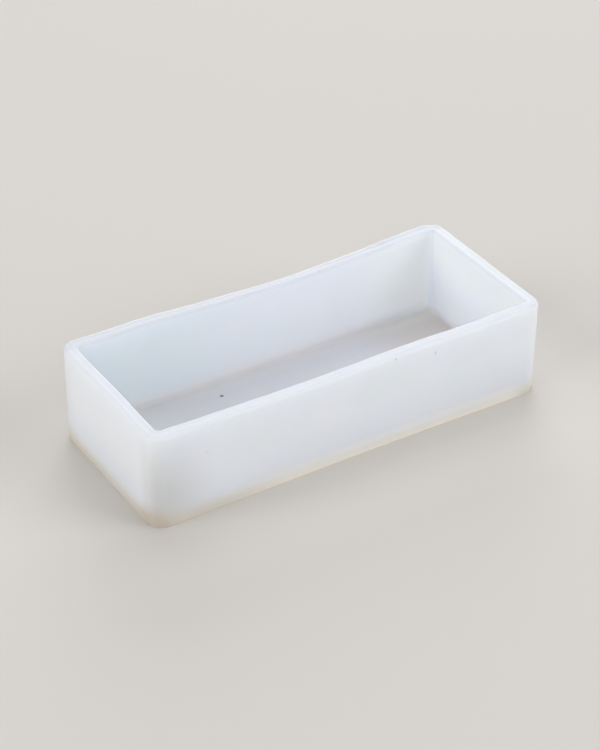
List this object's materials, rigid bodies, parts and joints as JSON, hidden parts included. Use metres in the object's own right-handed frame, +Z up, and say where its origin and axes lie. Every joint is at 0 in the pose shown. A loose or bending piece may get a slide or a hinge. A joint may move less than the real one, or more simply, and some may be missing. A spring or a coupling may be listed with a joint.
{
  "type": "silicone soap mould",
  "caption": "Open rectangular silicone tub with thick self-standing walls, for casting a loaf of soap, wax or resin and peeling it out.",
  "frame": {"origin": "middle of the underside, on the surface that the mould stands on", "axes": "+X along the mould's length, +Y across its width, +Z up, out of the open top"},
  "size_m": [0.2, 0.085, 0.047],
  "materials": {
    "milky_silicone": "satin"
  },
  "bodies": {
    "root": {"mould_body": "milky_silicone"}
  },
  "joints": []
}
